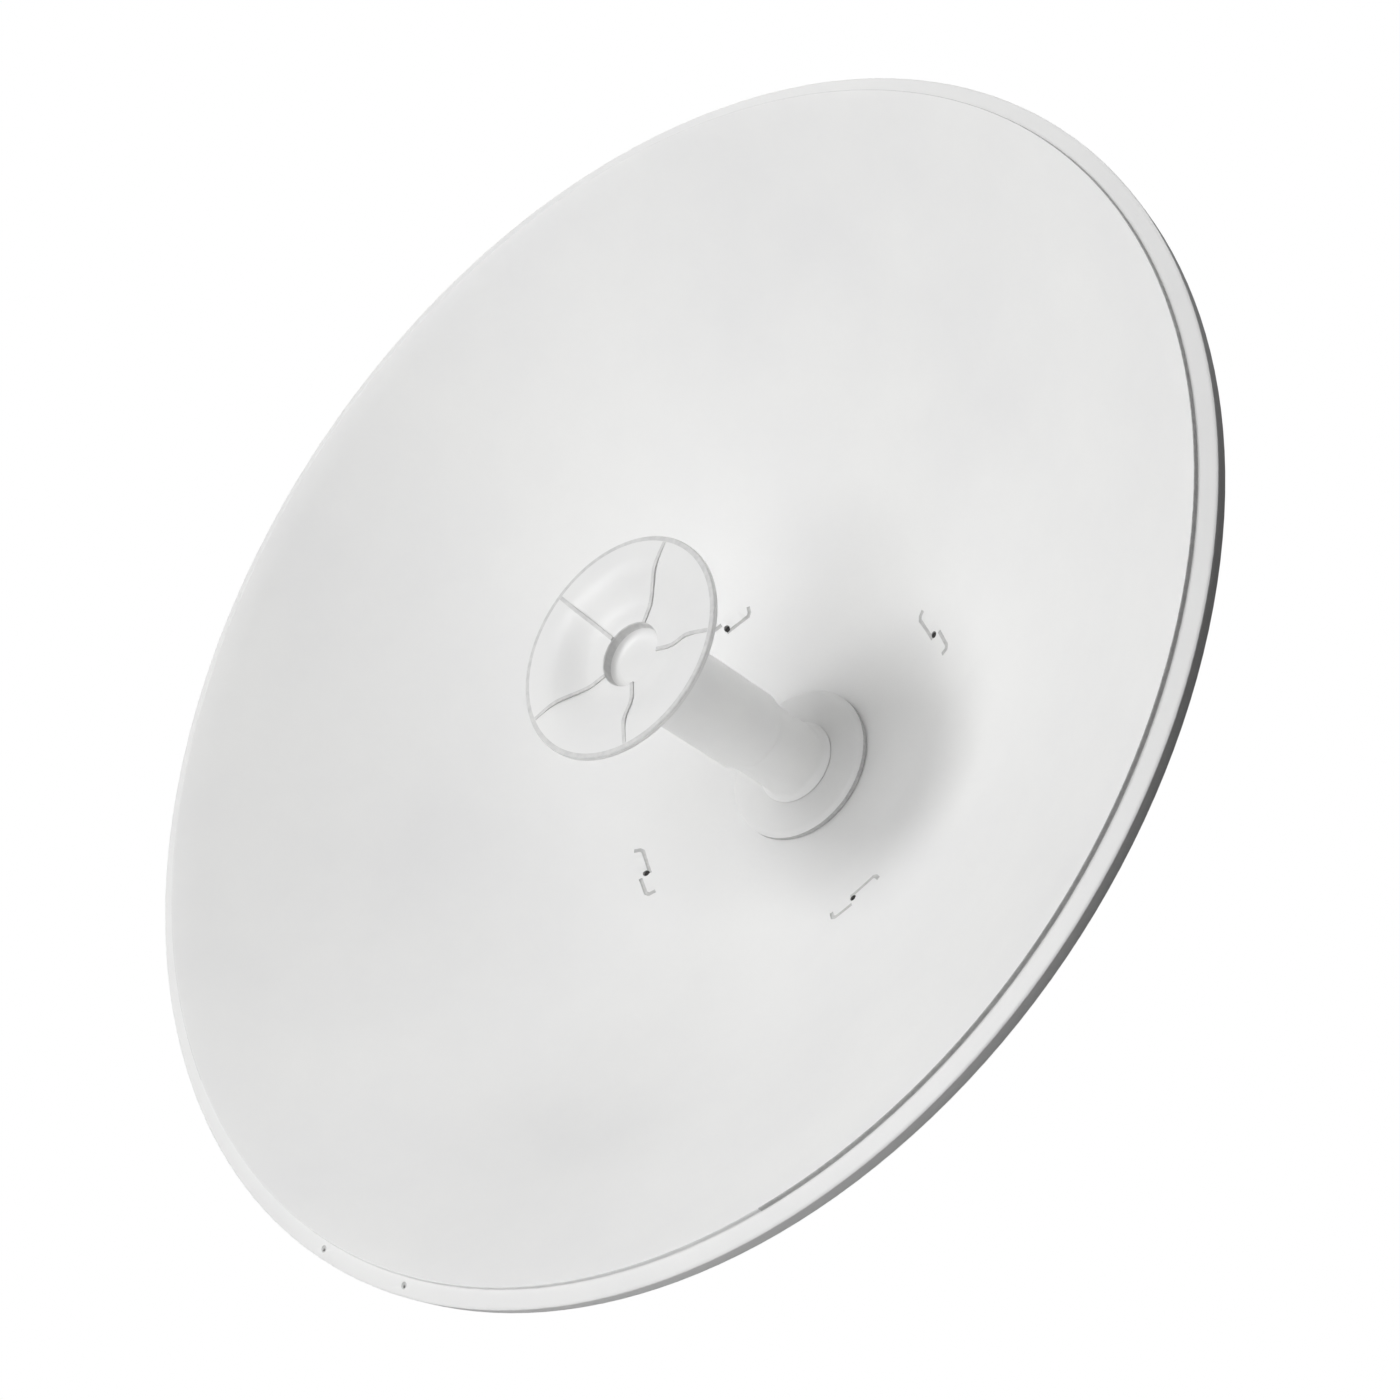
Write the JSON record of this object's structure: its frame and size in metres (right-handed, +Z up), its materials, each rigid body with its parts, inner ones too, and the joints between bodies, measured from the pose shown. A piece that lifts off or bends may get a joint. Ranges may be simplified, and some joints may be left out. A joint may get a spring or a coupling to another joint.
{
  "type": "parabolic microwave dish antenna with pole clamp",
  "caption": "Deep parabolic dish antenna in pale grey, a splash feed tube with a ribbed round cap in its bowl, and a steel bracket with a pole clamp behind it.",
  "frame": {"origin": "centre of the flat face of pole_pad, which bears on the pole", "axes": "+Y points back, out of the pad towards the pole; the dish looks along -Y; +Z is up, along the pole; +X is to the right of someone who faces the dish's front"},
  "size_m": [0.65, 0.332, 0.65],
  "materials": {
    "dish_paint": "satin powder coat",
    "feed_paint": "satin powder coat",
    "cap_plastic": "satin moulded plastic",
    "cast_metal": "sand-cast, bead blasted",
    "galvanised": "hot-dip galvanised",
    "zinc": "bright zinc plated",
    "dark_stud": "black oxide"
  },
  "bodies": {
    "root": {"reflector": "dish_paint", "feed_collar": "feed_paint", "feed_tube_base": "feed_paint", "feed_tube": "feed_paint", "sub_reflector": "cap_plastic", "mount_ring": "cast_metal", "feed_hub": "cast_metal", "port_left": "zinc", "port_right": "zinc", "back_plate": "galvanised", "mount_stud_1": "dark_stud", "mount_stud_2": "dark_stud", "mount_stud_3": "dark_stud", "mount_stud_4": "dark_stud", "mount_nut_1": "zinc", "mount_nut_2": "zinc", "mount_nut_3": "zinc", "mount_nut_4": "zinc", "cheek_left": "galvanised", "cheek_right": "galvanised", "pole_channel": "galvanised", "pivot_bolt": "zinc", "pivot_nut": "zinc", "lock_bolt_left": "zinc", "lock_bolt_right": "zinc", "lock_nut_left": "zinc", "lock_nut_right": "zinc", "pole_pad": "cast_metal", "rear_jaw": "cast_metal", "clamp_bolt_1": "zinc", "clamp_bolt_2": "zinc", "clamp_bolt_3": "zinc", "clamp_bolt_4": "zinc", "clamp_nut_1": "zinc", "clamp_nut_2": "zinc", "clamp_nut_3": "zinc", "clamp_nut_4": "zinc"}
  },
  "joints": []
}
